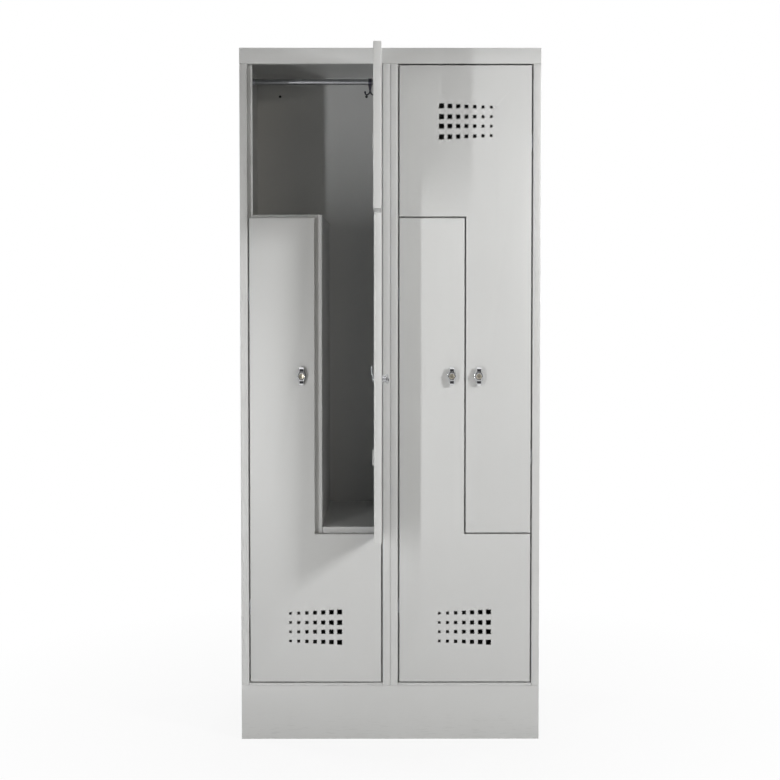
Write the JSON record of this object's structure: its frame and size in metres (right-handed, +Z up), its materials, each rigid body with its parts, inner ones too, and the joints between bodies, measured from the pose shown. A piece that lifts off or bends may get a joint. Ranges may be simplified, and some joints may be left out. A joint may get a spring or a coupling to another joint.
{
  "type": "z locker",
  "caption": "Free-standing sheet-steel Z locker: interlocking L-shaped doors give each user a wide space and a tall narrow one, with coat rails, sliding hooks and turn locks.",
  "frame": {"origin": "on the floor under the middle of the cabinet, between its two modules", "axes": "+Z up, +X to the right seen from the front, +Y to the back; the doors are on the -Y side"},
  "size_m": [0.8, 0.8465, 1.85],
  "materials": {
    "outer_paint": "light grey powder coat, semi-gloss",
    "inner_paint": "light grey powder coat, satin",
    "zinc_plate": "zinc-plated steel",
    "chrome_plate": "polished chrome plate"
  },
  "bodies": {
    "cabinet": {"plinth_front_board": "outer_paint", "plinth_back_board": "outer_paint", "plinth_left_board": "outer_paint", "plinth_right_board": "outer_paint", "plinth_cross_rail": "outer_paint", "top_panel": "outer_paint", "left_module_left_wall": "outer_paint", "left_module_right_wall": "outer_paint", "left_base_panel": "inner_paint", "left_back_panel": "inner_paint", "left_divider": "inner_paint", "left_upper_shelf": "inner_paint", "left_lower_shelf": "inner_paint", "left_left_rail_socket": "zinc_plate", "left_right_rail_socket": "zinc_plate", "left_upper_coat_rail": "zinc_plate", "left_lower_coat_rail": "zinc_plate", "left_lower_low_hinge": "zinc_plate", "left_lower_high_hinge": "zinc_plate", "left_upper_low_hinge": "zinc_plate", "left_upper_high_hinge": "zinc_plate", "right_module_left_wall": "outer_paint", "right_module_right_wall": "outer_paint", "right_base_panel": "inner_paint", "right_back_panel": "inner_paint", "right_divider": "inner_paint", "right_upper_shelf": "inner_paint", "right_lower_shelf": "inner_paint", "right_left_rail_socket": "zinc_plate", "right_right_rail_socket": "zinc_plate", "right_upper_coat_rail": "zinc_plate", "right_lower_coat_rail": "zinc_plate", "right_lower_low_hinge": "zinc_plate", "right_lower_high_hinge": "zinc_plate", "right_upper_low_hinge": "zinc_plate", "right_upper_high_hinge": "zinc_plate"},
    "left_lower_door": {"left_lower_door_tray": "outer_paint", "left_lower_door_hinge_channel": "inner_paint", "left_lower_lock_housing": "chrome_plate"},
    "left_upper_door": {"left_upper_door_tray": "outer_paint", "left_upper_door_hinge_channel": "inner_paint", "left_upper_lock_housing": "chrome_plate"},
    "right_lower_door": {"right_lower_door_tray": "outer_paint", "right_lower_door_hinge_channel": "inner_paint", "right_lower_lock_housing": "chrome_plate"},
    "right_upper_door": {"right_upper_door_tray": "outer_paint", "right_upper_door_hinge_channel": "inner_paint", "right_upper_lock_housing": "chrome_plate"},
    "left_lower_lock": {"left_lower_lock_grip": "chrome_plate", "left_lower_lock_cam": "zinc_plate"},
    "left_upper_lock": {"left_upper_lock_grip": "chrome_plate", "left_upper_lock_cam": "zinc_plate"},
    "right_lower_lock": {"right_lower_lock_grip": "chrome_plate", "right_lower_lock_cam": "zinc_plate"},
    "right_upper_lock": {"right_upper_lock_grip": "chrome_plate", "right_upper_lock_cam": "zinc_plate"},
    "left_upper_hook": {"left_upper_coat_hook": "chrome_plate"},
    "left_lower_hook": {"left_lower_coat_hook": "chrome_plate"},
    "right_upper_hook": {"right_upper_coat_hook": "chrome_plate"},
    "right_lower_hook": {"right_lower_coat_hook": "chrome_plate"}
  },
  "joints": [
    {"name": "left_lower_door_hinge", "type": "hinge", "parent": "cabinet", "child": "left_lower_door", "pos_m": [-0.3745, -0.2465, 0.779], "axis": [0, 0, -1], "range_deg": [0, 90]},
    {"name": "left_upper_door_hinge", "type": "hinge", "parent": "cabinet", "child": "left_upper_door", "pos_m": [-0.0255, -0.2465, 1.181], "axis": [0, 0, 1], "range_deg": [-90, 0]},
    {"name": "right_lower_door_hinge", "type": "hinge", "parent": "cabinet", "child": "right_lower_door", "pos_m": [0.0255, -0.2465, 0.779], "axis": [0, 0, -1], "range_deg": [0, 90]},
    {"name": "right_upper_door_hinge", "type": "hinge", "parent": "cabinet", "child": "right_upper_door", "pos_m": [0.3745, -0.2465, 1.181], "axis": [0, 0, 1], "range_deg": [0, 90]},
    {"name": "left_lower_lock_turn", "type": "hinge", "parent": "left_lower_door", "child": "left_lower_lock", "pos_m": [-0.236, -0.25, 0.98], "axis": [0, 1, 0], "range_deg": [0, 90]},
    {"name": "left_upper_lock_turn", "type": "hinge", "parent": "left_upper_door", "child": "left_upper_lock", "pos_m": [-0.022, -0.385, 0.98], "axis": [1, 0, 0], "range_deg": [0, 90]},
    {"name": "right_lower_lock_turn", "type": "hinge", "parent": "right_lower_door", "child": "right_lower_lock", "pos_m": [0.164, -0.25, 0.98], "axis": [0, 1, 0], "range_deg": [0, 90]},
    {"name": "right_upper_lock_turn", "type": "hinge", "parent": "right_upper_door", "child": "right_upper_lock", "pos_m": [0.236, -0.25, 0.98], "axis": [0, -1, 0], "range_deg": [0, 90]},
    {"name": "left_upper_hook_slide", "type": "slide", "parent": "cabinet", "child": "left_upper_hook", "axis": [1, 0, 0], "range_m": [-0.319, 0.032]},
    {"name": "left_lower_hook_slide", "type": "slide", "parent": "cabinet", "child": "left_lower_hook", "axis": [1, 0, 0], "range_m": [-0.088, 0.088]},
    {"name": "right_upper_hook_slide", "type": "slide", "parent": "cabinet", "child": "right_upper_hook", "axis": [1, 0, 0], "range_m": [-0.319, 0.032]},
    {"name": "right_lower_hook_slide", "type": "slide", "parent": "cabinet", "child": "right_lower_hook", "axis": [1, 0, 0], "range_m": [-0.088, 0.088]}
  ]
}
